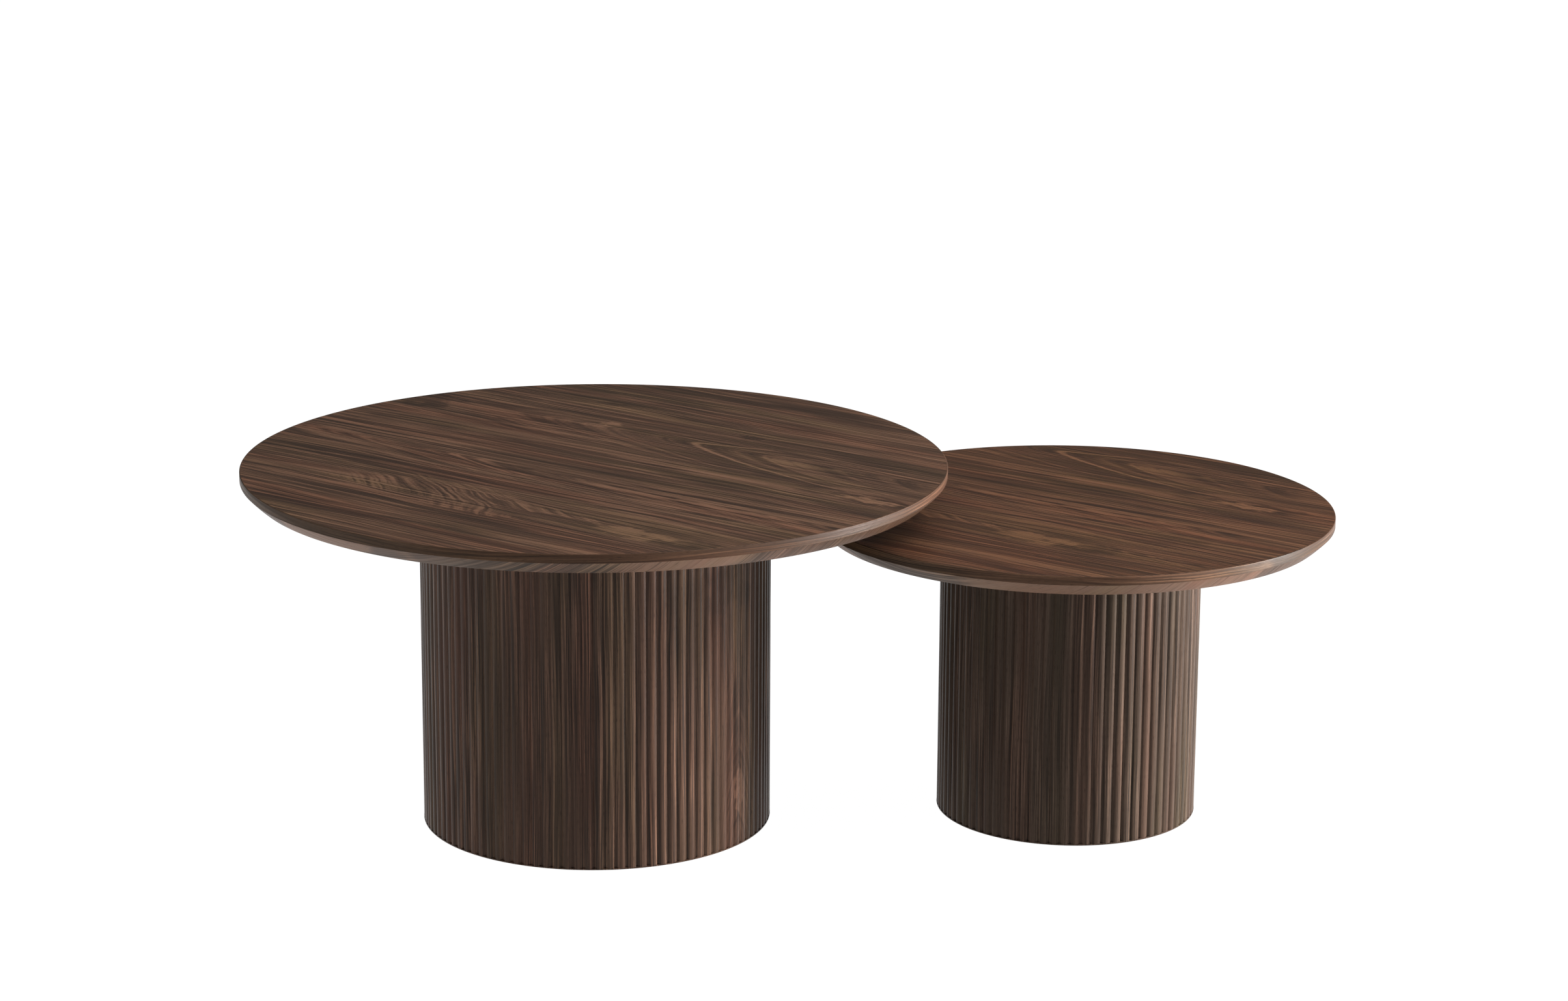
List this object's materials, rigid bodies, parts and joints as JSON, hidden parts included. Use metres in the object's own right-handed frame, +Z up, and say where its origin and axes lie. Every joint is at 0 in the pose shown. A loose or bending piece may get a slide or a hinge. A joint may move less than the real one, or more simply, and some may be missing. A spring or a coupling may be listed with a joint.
{
  "type": "nesting tables",
  "caption": "Two round walnut-veneered nesting tables on reeded drum bases; the smaller slides in under the larger one's bevelled top.",
  "frame": {"origin": "on the floor, at the middle of the rectangle that both tables cover in plan", "axes": "+Z up; +X from the large table's axis towards the small table's axis; -Y is the front"},
  "size_m": [1.2469, 0.8, 0.42],
  "materials": {
    "walnut_face": "satin lacquered walnut veneer, straight and cathedral grain",
    "walnut_edge": "satin lacquered walnut edge veneer, grain along the rim",
    "walnut_reeds": "satin lacquered walnut veneer over upright reeds",
    "fibreboard": "raw medium-density fibreboard",
    "plywood": "raw poplar plywood",
    "softwood": "planed softwood",
    "brass": "turned brass",
    "zinc_steel": "bright zinc-plated steel",
    "glide_plastic": "moulded dark brown plastic"
  },
  "bodies": {
    "large_table": {"large_backing_veneer": "walnut_face", "large_bevel_veneer": "walnut_edge", "large_bolt_washers": "zinc_steel", "large_drum_bottom_ring": "plywood", "large_drum_liner_left": "plywood", "large_drum_liner_right": "plywood", "large_drum_middle_ring": "plywood", "large_drum_post_1": "softwood", "large_drum_post_2": "softwood", "large_drum_post_3": "softwood", "large_drum_post_4": "softwood", "large_drum_top_plate": "plywood", "large_edge_band": "walnut_edge", "large_face_leaf_1": "walnut_face", "large_face_leaf_2": "walnut_face", "large_face_leaf_3": "walnut_face", "large_face_leaf_4": "walnut_face", "large_face_leaf_5": "walnut_face", "large_face_leaf_6": "walnut_face", "large_glide_nails": "zinc_steel", "large_glides": "glide_plastic", "large_post_screws_lower": "zinc_steel", "large_post_screws_upper": "zinc_steel", "large_reeded_panel_left": "walnut_reeds", "large_reeded_panel_right": "walnut_reeds", "large_threaded_inserts": "brass", "large_top_bolts": "zinc_steel", "large_top_core": "fibreboard"},
    "small_table": {"small_backing_veneer": "walnut_face", "small_bevel_veneer": "walnut_edge", "small_bolt_washers": "zinc_steel", "small_drum_bottom_ring": "plywood", "small_drum_liner_left": "plywood", "small_drum_liner_right": "plywood", "small_drum_middle_ring": "plywood", "small_drum_post_1": "softwood", "small_drum_post_2": "softwood", "small_drum_post_3": "softwood", "small_drum_post_4": "softwood", "small_drum_top_plate": "plywood", "small_edge_band": "walnut_edge", "small_face_leaf_1": "walnut_face", "small_face_leaf_2": "walnut_face", "small_face_leaf_3": "walnut_face", "small_face_leaf_4": "walnut_face", "small_face_leaf_5": "walnut_face", "small_glide_nails": "zinc_steel", "small_glides": "glide_plastic", "small_post_screws_lower": "zinc_steel", "small_post_screws_upper": "zinc_steel", "small_reeded_panel_left": "walnut_reeds", "small_reeded_panel_right": "walnut_reeds", "small_threaded_inserts": "brass", "small_top_bolts": "zinc_steel", "small_top_core": "fibreboard"}
  },
  "joints": [
    {"name": "small_table_slide", "type": "slide", "parent": "large_table", "child": "small_table", "axis": [1, 0, 0], "range_m": [-0.045, 0.25]}
  ]
}
